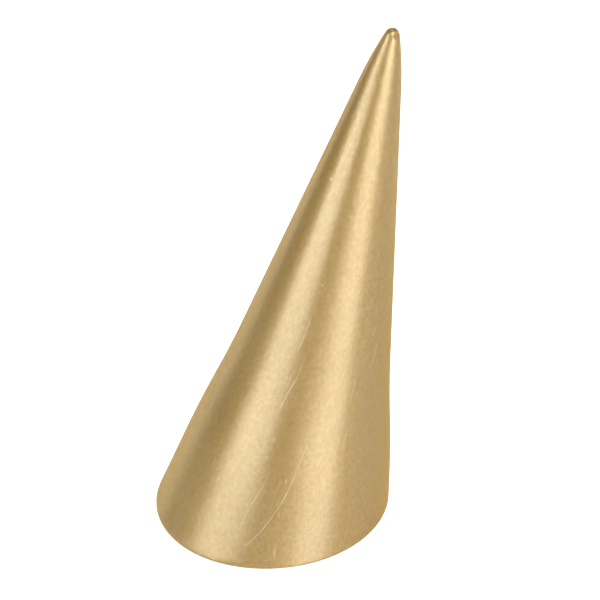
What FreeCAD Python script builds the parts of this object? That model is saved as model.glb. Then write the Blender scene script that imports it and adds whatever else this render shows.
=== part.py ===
import FreeCAD, Part
import math
import os

# Ring display stand: one cast body, a round cone that leans over and is cut level at its foot. The
# origin is the centre of the flat underside, +Z is up, and +X is the way the cone leans. Sizes are
# in millimetres and angles in degrees.

# The round cone, square to its own axis. Heights are measured along the axis, from the floor.
foot_diameter = 30.0
axis_length = 72.4
lean_angle = 13.8

# The foot stands out from the line of the flank by a shallow step, whose two bends are long arcs
skirt_step = 0.5
skirt_height = 7.7
flank_height = 25.6

# The nose starts where the flank has narrowed to this diameter, and bends over to a small ball
nose_diameter = 5.32
nose_length = 7.9
tip_radius = 0.93

# Radius of the soft edge between the side and the underside
foot_rounding = 0.8

lean = math.radians(lean_angle)
foot_radius = foot_diameter / 2
flank_radius = foot_radius - skirt_step
nose_height = axis_length - nose_length
straight_up = FreeCAD.Vector(0, 0, 1)

# Angle between the straight flank and the axis, set by the widths at the two ends of the flank
taper = math.atan2(flank_radius - nose_diameter / 2, nose_height)


def on_taper(radius_at_floor, along_axis):
    """The point of the profile at one height, on a line that tapers from the radius at the floor."""
    return FreeCAD.Vector(radius_at_floor - along_axis * math.tan(taper), 0, along_axis)


def arc_along(start, heading, end):
    """The arc that leaves the start along the heading, and the heading in which it ends."""
    chord = end - start
    turn = math.atan2(heading.z * chord.x - heading.x * chord.z, heading.dot(chord))
    sideways = FreeCAD.Vector(-chord.z, 0, chord.x)
    middle = start + chord * 0.5 + sideways * (math.tan(turn / 2) / 2)
    end_heading = FreeCAD.Rotation(FreeCAD.Vector(0, 1, 0), math.degrees(2 * turn)) * heading
    return Part.Arc(start, middle, end).toShape(), end_heading


# The profile starts far enough under the floor for the whole leaning foot to be cut from it
heading = FreeCAD.Vector(-math.sin(taper), 0, math.cos(taper))
below_floor = -foot_diameter * math.tan(lean)
bottom = on_taper(foot_radius, below_floor)
skirt_end = on_taper(foot_radius, skirt_height)
skirt_line = Part.makeLine(bottom, skirt_end)

# The step between the foot and the flank: a bend inwards and an equal bend back
flank_start = on_taper(flank_radius, flank_height)
turning_point = (skirt_end + flank_start) * 0.5
inward_bend, inward_heading = arc_along(skirt_end, heading, turning_point)
outward_bend = arc_along(turning_point, inward_heading, flank_start)[0]

# The straight flank
nose_start = on_taper(flank_radius, nose_height)
flank_line = Part.makeLine(flank_start, nose_start)

# The nose's arc touches both the flank and the ball at the tip, which fixes its radius
ball_centre = FreeCAD.Vector(0, 0, axis_length - tip_radius)
outward = FreeCAD.Vector(math.cos(taper), 0, math.sin(taper))
from_ball = nose_start - ball_centre
nose_radius = (from_ball.dot(from_ball) - tip_radius**2) / (2 * (from_ball.dot(outward) - tip_radius))
nose_centre = nose_start - outward * nose_radius
to_ball = ball_centre - nose_centre
ball_start = nose_centre + to_ball * (nose_radius / (nose_radius - tip_radius))
tip = FreeCAD.Vector(0, 0, axis_length)
nose_arc, nose_heading = arc_along(nose_start, heading, ball_start)
ball_arc = arc_along(ball_start, nose_heading, tip)[0]

# The profile is closed along the axis and turned once round
axis_bottom = FreeCAD.Vector(0, 0, below_floor)
profile = Part.Wire(
    [
        skirt_line,
        inward_bend,
        outward_bend,
        flank_line,
        nose_arc,
        ball_arc,
        Part.makeLine(tip, axis_bottom),
        Part.makeLine(axis_bottom, bottom),
    ]
)
upright_cone = Part.Face(profile).revolve(FreeCAD.Vector(), straight_up, 360)

# The cone leans towards +X. The floor cuts its foot in an ellipse whose centre lies behind the
# axis, so the cone moves forward until that centre is the origin.
upright_cone.rotate(FreeCAD.Vector(), FreeCAD.Vector(0, 1, 0), lean_angle)
slant = math.tan(taper) * math.tan(lean)
upright_cone.translate(FreeCAD.Vector(foot_radius / math.cos(lean) * slant / (1 - slant**2), 0, 0))

# Everything under the floor is cut off, which leaves the flat underside
reach = 2 * axis_length
under_floor = Part.makeBox(reach, reach, reach, FreeCAD.Vector(-reach / 2, -reach / 2, -reach))
body = upright_cone.cut(under_floor)

# The edge where the side meets the underside is softened all the way round
foot_edge = min(body.Edges, key=lambda edge: edge.BoundBox.ZMax)
cone = body.makeFillet(foot_rounding, [foot_edge])
if not cone.isValid():
    raise ValueError("the cone is not a valid solid")

os.makedirs("parts", exist_ok=True)
cone.exportStep("parts/cone.step")
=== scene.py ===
import math

import bpy
from mathutils import Euler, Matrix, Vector


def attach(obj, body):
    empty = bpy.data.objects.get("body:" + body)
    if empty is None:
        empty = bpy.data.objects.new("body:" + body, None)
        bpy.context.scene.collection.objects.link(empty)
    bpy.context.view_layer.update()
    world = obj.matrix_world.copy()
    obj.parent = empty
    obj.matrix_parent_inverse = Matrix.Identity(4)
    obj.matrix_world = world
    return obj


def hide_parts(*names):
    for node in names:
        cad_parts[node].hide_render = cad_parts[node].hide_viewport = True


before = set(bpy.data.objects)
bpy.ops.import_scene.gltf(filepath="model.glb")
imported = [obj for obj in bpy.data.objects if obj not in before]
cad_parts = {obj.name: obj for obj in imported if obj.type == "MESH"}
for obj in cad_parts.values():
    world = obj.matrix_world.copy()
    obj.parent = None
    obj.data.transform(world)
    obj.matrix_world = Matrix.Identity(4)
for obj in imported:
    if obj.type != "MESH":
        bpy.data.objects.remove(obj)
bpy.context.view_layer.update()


# The cone. The real one is a single casting in filled resin, sprayed gold: a round body that leans
# over, ground level at the foot, with the foot's edge rubbed soft. It stands on that flat
# underside, and a ring slides over its nose.
foot_radius = 0.0150
axis_length = 0.0724
lean = math.radians(13.8)
skirt_step = 0.0005
skirt_height = 0.0077
flank_height = 0.0256
nose_start_radius = 0.00266
nose_height = 0.0645
tip_radius = 0.00093
foot_rounding = 0.0008

# The narrowing is how much radius the straight flank loses for each unit of height
flank_radius = foot_radius - skirt_step
narrowing = (flank_radius - nose_start_radius) / nose_height
taper = math.atan(narrowing)

# The cone starts far enough under the floor for its whole leaning foot to be cut from it
below_floor = -2 * foot_radius * math.tan(lean)

# From the foot up to the nose the rings follow the flank, set out at the foot by the skirt's step
bend_rings = 14
flank_rings = 16
rings = [(below_floor, foot_radius - below_floor * narrowing)]
for k in range(bend_rings + 1):
    part_way = k / bend_rings
    height = skirt_height + (flank_height - skirt_height) * part_way
    drawn_in = 2 * part_way * part_way if part_way < 0.5 else 1 - 2 * (1 - part_way) ** 2
    rings.append((height, foot_radius - skirt_step * drawn_in - height * narrowing))
for k in range(1, flank_rings + 1):
    height = flank_height + (nose_height - flank_height) * k / flank_rings
    rings.append((height, flank_radius - height * narrowing))

# The nose's arc leaves the flank without a break and meets the ball at the tip the same way
ball_height = axis_length - tip_radius
drop = nose_height - ball_height
reach_out = nose_start_radius * math.cos(taper) + drop * math.sin(taper)
nose_bend = (nose_start_radius**2 + drop**2 - tip_radius**2) / (2 * (reach_out - tip_radius))
centre_radius = nose_start_radius - nose_bend * math.cos(taper)
centre_height = nose_height - nose_bend * math.sin(taper)
ball_angle = math.atan2(ball_height - centre_height, -centre_radius)
nose_rings = 12
for k in range(1, nose_rings + 1):
    angle = taper + (ball_angle - taper) * k / nose_rings
    height = centre_height + nose_bend * math.sin(angle)
    rings.append((height, centre_radius + nose_bend * math.cos(angle)))
ball_rings = 9
for k in range(1, ball_rings):
    angle = ball_angle + (math.pi / 2 - ball_angle) * k / ball_rings
    rings.append((ball_height + tip_radius * math.sin(angle), tip_radius * math.cos(angle)))

# A circle under the floor is drawn up ring by ring and closed at the tip
sides = 192
bpy.ops.object.select_all(action="DESELECT")
bpy.ops.mesh.primitive_circle_add(vertices=sides, radius=rings[0][1])
cone = bpy.context.object
cone.name = "ring_cone"
cone.data.name = "ring_cone"
bpy.ops.object.mode_set(mode="EDIT")
bpy.ops.mesh.select_mode(type="EDGE")
bpy.ops.mesh.select_all(action="SELECT")
bpy.ops.transform.translate(value=(0, 0, below_floor))
for (height, radius), (last_height, last_radius) in zip(rings[1:], rings):
    step_up = (0, 0, height - last_height)
    bpy.ops.mesh.extrude_edges_move(TRANSFORM_OT_translate={"value": step_up})
    ratio = radius / last_radius
    bpy.ops.transform.resize(value=(ratio, ratio, 1), center_override=(0, 0, height))
last_step = (0, 0, axis_length - rings[-1][0])
bpy.ops.mesh.extrude_edges_move(TRANSFORM_OT_translate={"value": last_step})
bpy.ops.mesh.merge(type="CENTER")

# It leans towards +X and moves forward until the cut through its foot is centred on the origin
slant = narrowing * math.tan(lean)
forward = foot_radius / math.cos(lean) * slant / (1 - slant**2)
bpy.ops.mesh.select_all(action="SELECT")
bpy.ops.transform.rotate(value=-lean, orient_axis="Y", center_override=(0, 0, 0))
bpy.ops.transform.translate(value=(forward, 0, 0))

# The floor cuts it level, and two level rings above the cut keep the foot's rounding out of the
# shading of the side. A cut runs through each point that is nearer to its plane than the tolerance
cut_tolerance = 1e-7
level_rings = (0.0018, 0.0026)
bpy.ops.mesh.bisect(
    plane_co=(0, 0, 0), plane_no=(0, 0, 1), use_fill=True, clear_inner=True, threshold=cut_tolerance
)
for level in level_rings:
    bpy.ops.mesh.select_all(action="SELECT")
    bpy.ops.mesh.bisect(plane_co=(0, 0, level), plane_no=(0, 0, 1), threshold=cut_tolerance)

# A small flat is rubbed on the ball at the tip, on the side that faces the front
flat_radius = 0.00036
flat_turn = math.radians(-66)
flat_rise = math.radians(28)
facing = Euler((0, lean, 0)).to_matrix() @ Vector(
    (
        math.cos(flat_rise) * math.cos(flat_turn),
        math.cos(flat_rise) * math.sin(flat_turn),
        math.sin(flat_rise),
    )
)
ball_centre = Vector((forward + ball_height * math.sin(lean), 0, ball_height * math.cos(lean)))
flat_centre = ball_centre + facing * math.sqrt(tip_radius**2 - flat_radius**2)
bpy.ops.mesh.select_all(action="SELECT")
bpy.ops.mesh.bisect(
    plane_co=flat_centre, plane_no=facing, use_fill=True, clear_outer=True, threshold=cut_tolerance
)
bpy.ops.mesh.select_all(action="SELECT")
bpy.ops.mesh.normals_make_consistent(inside=False)
bpy.ops.object.mode_set(mode="OBJECT")

# The foot's edge is rounded to one radius all the way round, so the round reaches further from a
# sharper corner than from a blunt one
rounding_segments = 8
underside = min(cone.data.polygons, key=lambda face: face.center.z)
normals = {}
for face in cone.data.polygons:
    if face.index != underside.index:
        for key in face.edge_keys:
            if key in underside.edge_keys:
                normals[key] = face.normal
spread = {key: math.tan(normal.angle(underside.normal) / 2) for key, normal in normals.items()}
widest = max(spread.values())
weights = cone.data.attributes.new("bevel_weight_edge", "FLOAT", "EDGE")
for edge in cone.data.edges:
    weights.data[edge.index].value = spread.get(edge.key, 0) / widest
bpy.ops.object.modifier_add(type="BEVEL")
rounding = cone.modifiers[-1]
rounding.limit_method = "WEIGHT"
rounding.offset_type = "OFFSET"
rounding.width = foot_rounding * widest
rounding.segments = rounding_segments
bpy.ops.object.modifier_apply(modifier=rounding.name)

# The side and the rounding are shaded smooth, and only the flat at the tip as a facet
bpy.ops.object.shade_smooth()
tip_flat = max(cone.data.polygons, key=lambda face: face.normal.dot(facing))
tip_flat.use_smooth = False

# The coat: satin gold paint. Pale mica flakes lie smooth in a browner, rougher gold body, so the
# paint turns pale where it mirrors a light and deepens where it doesn't
flake_spacing = 0.00003
flake_scatter = 0.5
flake_reach = 0.37
flake_edge = 0.04
flake_gold = (0.570, 0.531, 0.418, 1)
body_gold = (0.487, 0.274, 0.008, 1)
glancing_gold = (1.0, 0.85, 0.6, 1)
flake_roughness = 0.30
rubbed_roughness = 0.42
body_roughness = 0.60
coat = bpy.data.materials.new("satin_gold_coat")
coat.use_nodes = True
nodes, links = coat.node_tree.nodes, coat.node_tree.links
shader = nodes["Principled BSDF"]
shader.inputs["Metallic"].default_value = 1.0
shader.inputs["Specular Tint"].default_value = glancing_gold
place = nodes.new("ShaderNodeTexCoord")

# The coat is laid out on a flat map of the side: X is the arc from a line down the cone's front,
# and Y is the height along its axis
front = math.radians(-100)
upright = nodes.new("ShaderNodeMapping")
upright.vector_type = "TEXTURE"
upright.inputs["Location"].default_value = (forward, 0, 0)
upright.inputs["Rotation"].default_value = (0, lean, 0)
links.new(place.outputs["Object"], upright.inputs["Vector"])
along_axis = nodes.new("ShaderNodeSeparateXYZ")
links.new(upright.outputs["Vector"], along_axis.inputs["Vector"])
bearing = nodes.new("ShaderNodeMath")
bearing.operation = "ARCTAN2"
links.new(along_axis.outputs["Y"], bearing.inputs[0])
links.new(along_axis.outputs["X"], bearing.inputs[1])
from_front = nodes.new("ShaderNodeMath")
from_front.operation = "SUBTRACT"
from_front.inputs[1].default_value = front
links.new(bearing.outputs[0], from_front.inputs[0])
side_radius = nodes.new("ShaderNodeMath")
side_radius.operation = "MULTIPLY_ADD"
side_radius.inputs[1].default_value = -narrowing
side_radius.inputs[2].default_value = flank_radius
links.new(along_axis.outputs["Z"], side_radius.inputs[0])
arc = nodes.new("ShaderNodeMath")
arc.operation = "MULTIPLY"
links.new(from_front.outputs[0], arc.inputs[0])
links.new(side_radius.outputs[0], arc.inputs[1])
flat_map = nodes.new("ShaderNodeCombineXYZ")
links.new(arc.outputs[0], flat_map.inputs["X"])
links.new(along_axis.outputs["Z"], flat_map.inputs["Y"])

# One round flake lies in each cell of the map. Its reach and its soft edge are shares of a cell
cells = nodes.new("ShaderNodeTexVoronoi")
cells.voronoi_dimensions = "2D"
cells.inputs["Scale"].default_value = 1 / flake_spacing
cells.inputs["Randomness"].default_value = flake_scatter
links.new(flat_map.outputs["Vector"], cells.inputs["Vector"])
flake = nodes.new("ShaderNodeMapRange")
flake.inputs["From Min"].default_value = flake_reach + flake_edge
flake.inputs["From Max"].default_value = flake_reach - flake_edge
links.new(cells.outputs["Distance"], flake.inputs["Value"])
colour = nodes.new("ShaderNodeMix")
colour.data_type = "RGBA"
colour.inputs["A"].default_value = body_gold
colour.inputs["B"].default_value = flake_gold
links.new(flake.outputs["Result"], colour.inputs["Factor"])
roughness = nodes.new("ShaderNodeMapRange")
roughness.inputs["To Min"].default_value = body_roughness
links.new(flake.outputs["Result"], roughness.inputs["Value"])
links.new(roughness.outputs["Result"], shader.inputs["Roughness"])

# Rings rub over the nose, so the flakes lie duller and duller between these two heights on the axis
rubbed_from = 0.057
rubbed_to = 0.070
rubbed = nodes.new("ShaderNodeMapRange")
rubbed.inputs["From Min"].default_value = rubbed_from
rubbed.inputs["From Max"].default_value = rubbed_to
rubbed.inputs["To Min"].default_value = flake_roughness
rubbed.inputs["To Max"].default_value = rubbed_roughness
links.new(along_axis.outputs["Z"], rubbed.inputs["Value"])
links.new(rubbed.outputs["Result"], roughness.inputs["To Max"])

# The sprayed coat has a fine grain, a little drawn out along the cone, which shows in the colour
# and in the surface
grain_width = 0.00035
grain_stretch = 0.6
grain_detail = 2.0
grain_in_colour = 0.24
grain_depth = 0.000015
drawn_out = nodes.new("ShaderNodeVectorMath")
drawn_out.operation = "MULTIPLY"
drawn_out.inputs[1].default_value = (1, 1, grain_stretch)
links.new(upright.outputs["Vector"], drawn_out.inputs[0])
grain = nodes.new("ShaderNodeTexNoise")
grain.inputs["Scale"].default_value = 1 / grain_width
grain.inputs["Detail"].default_value = grain_detail
links.new(drawn_out.outputs["Vector"], grain.inputs["Vector"])
tone = nodes.new("ShaderNodeMapRange")
tone.inputs["To Min"].default_value = 1 - grain_in_colour
tone.inputs["To Max"].default_value = 1 + grain_in_colour
links.new(grain.outputs["Fac"], tone.inputs["Value"])
toned = nodes.new("ShaderNodeVectorMath")
toned.operation = "SCALE"
links.new(colour.outputs["Result"], toned.inputs[0])

# The flat at the tip is painted darker: painted shade, standing in for the dimmer light it mirrors.
# The painted shade fades in between two planes that lie close under the flat
flat_painted_shade = 0.74
fade_start = 0.00002
fade_end = 0.000004
flat_level = flat_centre.dot(facing)
level = nodes.new("ShaderNodeVectorMath")
level.operation = "DOT_PRODUCT"
level.inputs[1].default_value = facing
links.new(place.outputs["Object"], level.inputs[0])
painted_flat_shade = nodes.new("ShaderNodeMapRange")
painted_flat_shade.inputs["From Min"].default_value = flat_level - fade_start
painted_flat_shade.inputs["From Max"].default_value = flat_level - fade_end
painted_flat_shade.inputs["To Min"].default_value = 1.0
painted_flat_shade.inputs["To Max"].default_value = flat_painted_shade
links.new(level.outputs["Value"], painted_flat_shade.inputs["Value"])
both = nodes.new("ShaderNodeMath")
both.operation = "MULTIPLY"
links.new(tone.outputs["Result"], both.inputs[0])
links.new(painted_flat_shade.outputs["Result"], both.inputs[1])
links.new(both.outputs[0], toned.inputs["Scale"])

# One stroke starts at a point of the map, runs along one vector and is bowed across another. It is
# deepest halfway and fades to nothing at its ends and sides, and is laid over the strokes before it
stroke = bpy.data.node_groups.new("stroke", "ShaderNodeTree")
for socket in ("Map", "Start", "Along", "Across"):
    stroke.interface.new_socket(socket, in_out="INPUT", socket_type="NodeSocketVector")
for socket in ("Bow", "Width", "Depth", "Before"):
    stroke.interface.new_socket(socket, in_out="INPUT", socket_type="NodeSocketFloat")
stroke.interface.new_socket("Marks", in_out="OUTPUT", socket_type="NodeSocketFloat")
given = stroke.nodes.new("NodeGroupInput")
result = stroke.nodes.new("NodeGroupOutput")


def stroke_step(kind, operation, *inputs):
    """Adds a step to the stroke, wired to the outputs or numbers given, and returns its output."""
    node = stroke.nodes.new("ShaderNode" + kind)
    node.operation = operation
    for socket, value in zip(node.inputs, inputs):
        if isinstance(value, bpy.types.NodeSocket):
            stroke.links.new(value, socket)
        else:
            socket.default_value = value
    return next(output for output in node.outputs if output.enabled)


# The swell follows a parabola, from 0 at the start up to 1 halfway and back to 0 at the end
offset = stroke_step("VectorMath", "SUBTRACT", given.outputs["Map"], given.outputs["Start"])
share = stroke_step("VectorMath", "DOT_PRODUCT", offset, given.outputs["Along"])
aside = stroke_step("VectorMath", "DOT_PRODUCT", offset, given.outputs["Across"])
left_over = stroke_step("Math", "MULTIPLY_ADD", share, -4.0, 4.0)
swell = stroke_step("Math", "MULTIPLY", share, left_over)
swell.node.use_clamp = True
bowed = stroke_step("Math", "MULTIPLY", swell, given.outputs["Bow"])
beside = stroke_step("Math", "SUBTRACT", aside, bowed)
miss = stroke_step("Math", "ABSOLUTE", beside)
edge = stroke.nodes.new("ShaderNodeMapRange")
edge.interpolation_type = "SMOOTHSTEP"
edge.inputs["From Max"].default_value = 0.0
stroke.links.new(miss, edge.inputs["Value"])
stroke.links.new(given.outputs["Width"], edge.inputs["From Min"])
cut = stroke_step("Math", "MULTIPLY", edge.outputs["Result"], given.outputs["Depth"])
swollen = stroke_step("Math", "MULTIPLY", cut, swell)
deepest = stroke_step("Math", "MAXIMUM", swollen, given.outputs["Before"])
stroke.links.new(deepest, result.inputs["Marks"])

# The scratches and dents. A row gives a start and an end, in degrees round the axis and millimetres
# up it, then the bow and half width in millimetres, and the depth as a share of the full one
marks = None
for start_angle, start_height, end_angle, end_height, bow, half_width, depth in (
    (-88.9, 18.1, -93.2, 13.0, 0.00, 0.09, 0.45),
    (-92.0, 14.5, -95.0, 10.6, 0.03, 0.09, 0.70),
    (-94.0, 11.6, -97.7, 8.7, 0.02, 0.10, 0.80),
    (-96.0, 9.8, -102.2, 5.9, 0.04, 0.08, 0.55),
    (-99.8, 7.3, -104.7, 4.3, 0.02, 0.10, 0.75),
    (-102.9, 5.2, -110.5, 1.8, 0.00, 0.10, 0.75),
    (-107.6, 13.4, -110.3, 9.7, 0.06, 0.10, 0.45),
    (-109.1, 10.9, -112.9, 7.4, 0.00, 0.10, 0.60),
    (-112.2, 8.3, -114.8, 4.1, -0.03, 0.10, 0.35),
    (-108.3, 35.2, -110.6, 31.5, 0.00, 0.09, 0.50),
    (-109.3, 32.8, -112.4, 29.4, 0.00, 0.10, 0.60),
    (-104.5, 29.7, -107.7, 25.4, 0.04, 0.10, 0.45),
    (-106.0, 26.8, -111.3, 23.3, 0.03, 0.12, 0.80),
    (-109.7, 24.2, -113.0, 21.2, 0.00, 0.10, 0.60),
    (-110.4, 27.3, -113.0, 23.8, 0.00, 0.09, 0.45),
    (-106.4, 4.3, -103.8, 3.4, 0.00, 0.09, 0.55),
    (-104.0, 3.3, -107.0, 3.7, 0.00, 0.09, 0.45),
    (-43.9, 34.1, -48.6, 32.2, 0.05, 0.10, 0.75),
    (-38.9, 31.6, -44.5, 28.0, -0.20, 0.10, 0.65),
    (-60.2, 28.2, -63.6, 23.0, 0.00, 0.14, 0.35),
    (-62.4, 20.4, -64.6, 17.8, 0.00, 0.14, 0.30),
    (-56.0, 10.1, -57.6, 9.1, 0.00, 0.12, 0.30),
    (-135.6, 9.9, -136.3, 8.5, 0.00, 0.14, 0.35),
    (-139.4, 3.5, -135.9, 1.0, 0.00, 0.14, 0.35),
    (-95.2, 31.4, -93.1, 29.4, 0.00, 0.10, 0.30),
    (-94.8, 3.6, -93.7, 1.5, 0.00, 0.26, 0.40),
    (-97.5, 8.4, -95.3, 7.1, 0.00, 0.09, 0.30),
    (-95.5, 8.5, -93.3, 7.2, 0.00, 0.09, 0.30),
    (-137.4, 52.5, -137.4, 51.9, 0.00, 0.24, 0.80),
    (-102.3, 48.2, -102.3, 47.8, 0.00, 0.18, 0.40),
    (-94.4, 48.7, -94.4, 48.3, 0.00, 0.18, 0.40),
    (-106.9, 39.3, -106.9, 38.7, 0.00, 0.20, 0.50),
    (-104.9, 39.7, -104.9, 39.3, 0.00, 0.14, 0.35),
    (-107.0, 38.2, -107.0, 37.8, 0.00, 0.14, 0.35),
    (-98.8, 38.3, -98.8, 37.9, 0.00, 0.14, 0.35),
    (-95.7, 41.3, -95.7, 40.9, 0.00, 0.16, 0.38),
    (-108.2, 35.8, -108.2, 35.4, 0.00, 0.16, 0.38),
    (-145.8, 15.7, -145.8, 15.3, 0.00, 0.17, 0.38),
    (-110.1, 17.8, -110.1, 17.0, 0.00, 0.32, 0.30),
    (-114.7, 18.0, -114.7, 17.6, 0.00, 0.17, 0.32),
    (-111.9, 15.0, -111.9, 14.6, 0.00, 0.17, 0.38),
    (-141.7, 22.7, -141.7, 22.3, 0.00, 0.17, 0.38),
    (-96.9, 12.8, -96.9, 12.2, 0.00, 0.22, 0.55),
    (-96.0, 10.1, -96.2, 9.5, 0.00, 0.20, 0.40),
    (-162.3, 6.8, -162.3, 6.4, 0.00, 0.16, 0.38),
):
    ends = []
    for angle, height in ((start_angle, start_height / 1000), (end_angle, end_height / 1000)):
        radius = flank_radius - height * narrowing
        ends.append(Vector(((math.radians(angle) - front) * radius, height, 0)))
    run = ends[1] - ends[0]
    laid = nodes.new("ShaderNodeGroup")
    laid.node_tree = stroke
    laid.inputs["Start"].default_value = ends[0]
    laid.inputs["Along"].default_value = run / run.length_squared
    laid.inputs["Across"].default_value = Vector((-run.y, run.x, 0)) / run.length
    laid.inputs["Bow"].default_value = bow / 1000
    laid.inputs["Width"].default_value = half_width / 1000
    laid.inputs["Depth"].default_value = depth
    links.new(flat_map.outputs["Vector"], laid.inputs["Map"])
    if marks:
        links.new(marks.outputs["Marks"], laid.inputs["Before"])
    marks = laid

# A mark is painted paler: partly bared paler paint, partly a painted highlight for the light its
# groove walls catch. It also dips into the surface
bared_and_glint_gold = (0.80, 0.70, 0.50, 1)
mark_depth = 0.000009
bared_and_glint = nodes.new("ShaderNodeMix")
bared_and_glint.data_type = "RGBA"
bared_and_glint.inputs["B"].default_value = bared_and_glint_gold
links.new(marks.outputs["Marks"], bared_and_glint.inputs["Factor"])
links.new(toned.outputs["Vector"], bared_and_glint.inputs["A"])
links.new(bared_and_glint.outputs["Result"], shader.inputs["Base Color"])
relief = nodes.new("ShaderNodeMath")
relief.operation = "MULTIPLY_ADD"
relief.inputs[1].default_value = -mark_depth / grain_depth
links.new(marks.outputs["Marks"], relief.inputs[0])
links.new(grain.outputs["Fac"], relief.inputs[2])
surface = nodes.new("ShaderNodeBump")
surface.inputs["Distance"].default_value = grain_depth
links.new(relief.outputs[0], surface.inputs["Height"])
links.new(surface.outputs["Normal"], shader.inputs["Normal"])
cone.data.materials.clear()
cone.data.materials.append(coat)
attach(cone, "root")
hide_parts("cone")


# The floor: a sheet of smooth white board. The camera and the metal both see it lit from within, so
# it stays white round the object and still takes a soft shadow
floor_radius = 8.0
floor_sides = 96
board_white = (0.8, 0.8, 0.8, 1)
board_roughness = 0.12
board_gloss = 2.4
glow_white = (1, 1, 1, 1)
seen_by_camera = 0.75
seen_in_metal = 0.1
bpy.ops.object.select_all(action="DESELECT")
bpy.ops.mesh.primitive_circle_add(vertices=floor_sides, radius=floor_radius, fill_type="NGON")
floor = bpy.context.object
floor.name = "floor"
board = bpy.data.materials.new("white_board")
board.use_nodes = True
nodes, links = board.node_tree.nodes, board.node_tree.links
shader = nodes["Principled BSDF"]
shader.inputs["Base Color"].default_value = board_white
shader.inputs["Roughness"].default_value = board_roughness
shader.inputs["IOR"].default_value = board_gloss
shader.inputs["Emission Color"].default_value = glow_white
rays = nodes.new("ShaderNodeLightPath")
mirrored = nodes.new("ShaderNodeMath")
mirrored.operation = "MAXIMUM"
links.new(rays.outputs["Is Glossy Ray"], mirrored.inputs[0])
links.new(rays.outputs["Is Transmission Ray"], mirrored.inputs[1])
mirrored_glow = nodes.new("ShaderNodeMath")
mirrored_glow.operation = "MULTIPLY"
mirrored_glow.inputs[1].default_value = seen_in_metal
links.new(mirrored.outputs[0], mirrored_glow.inputs[0])
glow = nodes.new("ShaderNodeMath")
glow.operation = "MULTIPLY_ADD"
glow.inputs[1].default_value = seen_by_camera
links.new(rays.outputs["Is Camera Ray"], glow.inputs[0])
links.new(mirrored_glow.outputs[0], glow.inputs[2])
links.new(glow.outputs[0], shader.inputs["Emission Strength"])
floor.data.materials.append(board)


# The light: soft boxes stand round the cone. A low strip under a narrow bright box lights it from
# the left, a bank of four boxes, one over the other, from the right, two from behind and two from
# above. Each is given by the angles that it fills, as seen from the floor under the cone
room_grey = (0.04, 0.04, 0.04, 1)
under_cone = (0.004, 0.0, 0.0)
box_distance = 0.6
world = bpy.data.worlds.new("studio")
bpy.context.scene.world = world
world.use_nodes = True
world.node_tree.nodes["Background"].inputs["Color"].default_value = room_grey
for name, azimuth, half_width, lowest, highest, brightness in (
    ("left_strip", -145, 21.5, 1, 10, 3.5),
    ("left_softbox", -153, 12.6, 18, 28, 11.1),
    ("right_strip", -68, 19.3, 1, 8, 5.3),
    ("right_low", -60.8, 16.3, 8, 16, 2.6),
    ("right_high", -59.5, 16.2, 16, 26, 6.5),
    ("right_top", -60.8, 21.2, 28, 60, 7.0),
    ("back_right_softbox", 32, 12, 1, 28, 3.4),
    ("back_left_softbox", 128, 19, 1, 28, 1.55),
    ("left_top", -160, 22, 28, 60, 0.45),
    ("back_top", 95, 30, 28, 60, 1.0),
):
    turn = math.radians(azimuth)
    low, high = (box_distance * math.tan(math.radians(angle)) for angle in (lowest, highest))
    width = 2 * box_distance * math.tan(math.radians(half_width))
    height = (low + high) / 2
    tilt = math.atan2(height, box_distance)
    across = under_cone[0] + box_distance * math.cos(turn)
    away = under_cone[1] + box_distance * math.sin(turn)
    bpy.ops.object.light_add(
        type="AREA",
        location=(across, away, height),
        rotation=(math.pi / 2 - tilt, 0, turn + math.pi / 2),
    )
    lamp = bpy.context.object
    lamp.name = name
    lamp.data.shape = "RECTANGLE"
    lamp.data.size = width
    lamp.data.size_y = high - low
    # A box shows the brightness in the list, whatever its size
    lamp.data.energy = brightness * math.pi * width * (high - low)


# The camera looks down on the cone from the front through a long lens, rolled a little to the right
camera_place = (0.005112, -0.356994, 0.275205)
looking_down = 34.307
rolled_right = 2.837
sensor_width = 36.0
focal_length = 205.194
bpy.ops.object.camera_add(location=camera_place)
camera = bpy.context.object
camera.rotation_mode = "ZYX"
camera.rotation_euler = (math.radians(90 - looking_down), 0, -math.radians(rolled_right))
camera.data.sensor_width = sensor_width
camera.data.lens = focal_length
bpy.context.scene.camera = camera
bpy.context.scene.view_settings.view_transform = "Standard"
